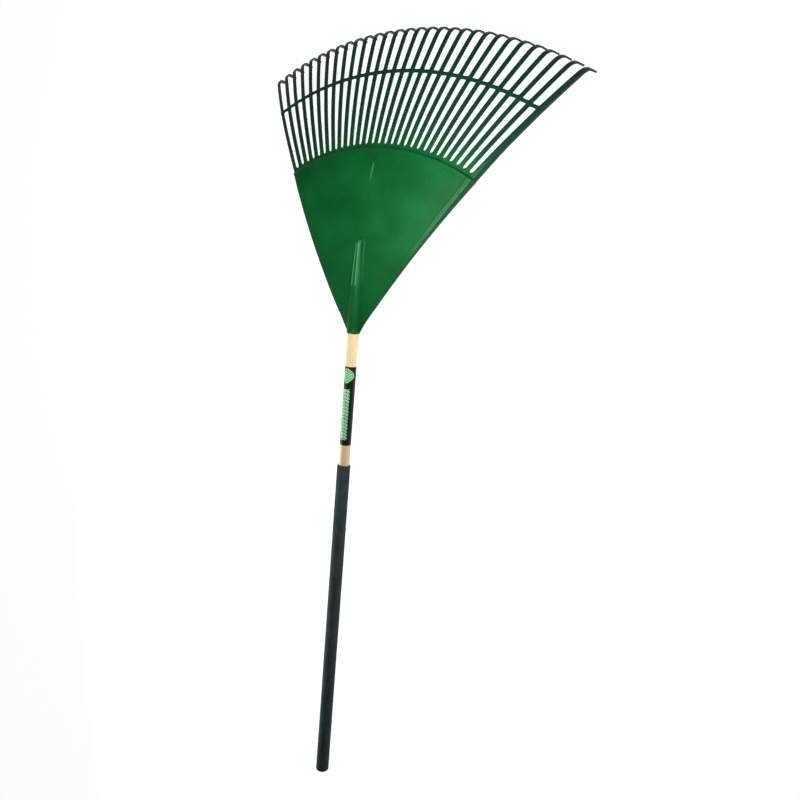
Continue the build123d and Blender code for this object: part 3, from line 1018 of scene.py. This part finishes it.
def leaf_mask(n, u, v, length, width, tilt):
    """1 inside a pointed leaf that starts at the origin and leans away from the v axis."""
    along = n.math("ADD", n.times(u, sin(tilt)), n.times(v, cos(tilt)))
    aside = n.minus(n.times(u, cos(tilt)), n.times(v, sin(tilt)))
    share = n.math("DIVIDE", along, length)
    limit = n.times(n.times(share, n.minus(1.0, share)), 4 * width / 2)
    inside = n.math("GREATER_THAN", limit, n.math("ABSOLUTE", aside))
    vein = n.math("GREATER_THAN", n.math("ABSOLUTE", aside), VEIN_HALF_WIDTH)
    return n.times(inside, vein)


def label_material(label):
    """Glossy black film printed with a pale green sprig of leaves under one large leaf."""
    n = Nodes("printed_film", label)
    x, y, z = n.new("ShaderNodeSeparateXYZ", Vector=n.along).outputs
    u = n.times(n.math("ARCTAN2", x, z), HANDLE_RADIUS)
    u_off = n.math("ABSOLUTE", u)
    turns = n.math("FRACT", n.math("DIVIDE", n.minus(LABEL_BACK, y), SPRIG_PITCH))
    local = n.times(turns, -SPRIG_PITCH)
    leaf = leaf_mask(n, u_off, n.times(local, -1.0), *SPRIG_LEAF)
    later = n.minus(n.times(local, -1.0), SPRIG_PITCH)
    later_leaf = leaf_mask(n, u_off, n.math("ADD", later, 2 * SPRIG_PITCH), *SPRIG_LEAF)
    leaf = n.math("MAXIMUM", leaf, later_leaf)
    stem = n.math("LESS_THAN", u_off, STEM_HALF_WIDTH)
    sprig = n.math("MAXIMUM", leaf, stem)
    sprig = n.times(sprig, n.math("GREATER_THAN", y, SPRIG_BACK))
    sprig = n.times(sprig, n.math("LESS_THAN", y, SPRIG_FRONT))
    crown_v = n.minus(y, CROWN_BACK)
    crown = leaf_mask(n, u_off, crown_v, *CROWN_LEAF)
    slanted = n.minus(crown_v, n.times(u_off, 0.9))
    veins = n.math("FRACT", n.math("DIVIDE", slanted, CROWN_VEIN_PITCH))
    shade = n.times(crown, n.math("GREATER_THAN", veins, 0.42))
    green = n.math("MAXIMUM", sprig, crown)
    worn = n.noise(n.along, 0.7, 4.0, 0.6)
    ink = n.mix(n.remap(worn, 0.35, 0.7, 0.0, 0.3), *INK_GREENS)
    film = n.mix(n.remap(worn, 0.4, 0.75, 0.0, 0.6), *FILM_BLACKS)
    ink = n.mix(n.times(shade, 0.8), ink, INK_SHADE)
    n.feed(n.shader, {"Base__Color": n.mix(green, film, ink)})
    n.feed(n.shader, {"Roughness": n.remap(worn, 0.3, 0.7, 0.36, 0.48)})
    n.feed(n.shader, {"Specular__IOR__Level": 0.2})
    n.feed(n.shader, {"Normal": n.bump(n.noise(n.scaled(0.5, 0.1, 0.5), 1.0, 2.0), 0.0001, 0.4)})


def steel_material(screw):
    """Zinc-plated steel: turning marks and a slightly uneven bright finish."""
    n = Nodes("zinc_steel", screw)
    rings = n.noise(n.scaled(6, 6, 1), 1.0, 3.0)
    n.feed(n.shader, {"Base__Color": n.ramp(rings, STEEL_TONES)})
    n.feed(n.shader, {"Roughness": n.remap(rings, 0.3, 0.7, 0.25, 0.42)})
    n.feed(n.shader, {"Metallic": 1.0})
    n.feed(n.shader, {"Normal": n.bump(rings, 0.00004, 0.5)})


# ---------------------------------------------------------------- studio


CAMERA_AT = (925.1, 190.2, 1353.9)
CAMERA_BACK = (0.4979, 0.1948, 0.8451)
CAMERA_UP = (-0.171, 0.9774, -0.1245)
CAMERA_LENS = 35.15
FLOOR_REACH = 6.0
FLOOR_GAP = 0.0005
FLOOR_GREY = 0.3
FLOOR_GLOW = 0.93
WORLD_GLOW = 0.12

# Soft lights: name, target and direction along the handle, distance, size in metres, watts
LIGHTS = (
    ("key_light", (40, 245, 0), (0.5, 0.15, 0.84), 450, 0.3, 5.2),
    ("sheen_light", (60, 230, 0), (-0.32, 0.08, 0.93), 1800, 0.5, 1.2),
    ("fan_light", (0, 650, 0), (0.75, 0.45, 0.5), 1000, 0.6, 2.5),
    ("handle_light", (0, -450, 0), (-0.93, -0.2, 0.3), 950, 0.6, 12.5),
)


def facing(direction, up):
    """Rotation whose +Z axis points along a direction, with +Y near up, in the rake's frame."""
    turn = RAKE.to_3x3().normalized()
    z_axis = (turn @ Vector(direction)).normalized()
    x_axis = (turn @ Vector(up)).cross(z_axis).normalized()
    return Matrix((x_axis, z_axis.cross(x_axis), z_axis)).transposed()


def make_camera():
    """Camera above the right side of the head, looking down the handle."""
    camera = bpy.data.objects.new("camera", bpy.data.cameras.new("camera"))
    bpy.context.scene.collection.objects.link(camera)
    camera.matrix_world = Matrix.LocRotScale(RAKE @ Vector(CAMERA_AT), facing(CAMERA_BACK, CAMERA_UP), None)
    camera.data.lens = CAMERA_LENS
    bpy.context.scene.camera = camera


def make_light(name, target, direction, distance, size, power):
    """Square soft light at a distance from a target, both in millimetres along the handle."""
    data = bpy.data.lights.new(name, "AREA")
    data.size = size
    data.energy = power
    light = bpy.data.objects.new(name, data)
    bpy.context.scene.collection.objects.link(light)
    place = Vector(target) + Vector(direction).normalized() * distance
    light.matrix_world = Matrix.LocRotScale(RAKE @ place, facing(direction, (0, 1, 0)), None)


def make_stage_mesh(name, points, faces, material):
    """Plain mesh of the studio, left out of the rake's bodies."""
    mesh = bpy.data.meshes.new(name)
    mesh.from_pydata(points, [], faces)
    mesh.materials.append(material)
    thing = bpy.data.objects.new(name, mesh)
    bpy.context.scene.collection.objects.link(thing)
    return thing


def make_floor():
    """Plain near-white floor, with an even wall far off that is only seen and casts no light."""
    low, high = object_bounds()
    half = FLOOR_REACH * (high - low).length
    level = low.z - FLOOR_GAP
    material = bpy.data.materials.new("floor")
    material.use_nodes = True
    shader = material.node_tree.nodes["Principled BSDF"]
    shader.inputs["Base Color"].default_value = (FLOOR_GREY, FLOOR_GREY, FLOOR_GREY, 1)
    shader.inputs["Roughness"].default_value = 0.9
    shader.inputs["Specular IOR Level"].default_value = 0.1
    shader.inputs["Emission Color"].default_value = (1, 1, 1, 1)
    shader.inputs["Emission Strength"].default_value = FLOOR_GLOW
    corners = [(-half, -half), (half, -half), (half, half), (-half, half)]
    make_stage_mesh("floor", [(x, y, level) for x, y in corners], [(0, 1, 2, 3)], material)
    ring = [(x, y, z) for z in (level, level + half) for x, y in corners]
    walls = [(side, (side + 1) % 4, (side + 1) % 4 + 4, side + 4) for side in range(4)]
    wall = make_stage_mesh("backdrop", ring, walls, material)
    wall.visible_diffuse = False
    wall.visible_glossy = False
    wall.visible_shadow = False


def make_studio():
    """Camera, floor, even white surroundings and soft lights over the head and the handle."""
    make_camera()
    make_floor()
    world = bpy.data.worlds.new("studio")
    world.use_nodes = True
    background = world.node_tree.nodes["Background"]
    background.inputs["Color"].default_value = (1, 1, 1, 1)
    background.inputs["Strength"].default_value = WORLD_GLOW
    bpy.context.scene.world = world
    bpy.context.scene.view_settings.view_transform = "Standard"
    for light in LIGHTS:
        make_light(*light)


plastic_material(make_head())
wood_material(make_pole())
foam_material(make_grip())
label_material(make_label())
steel_material(make_screw())
make_studio()
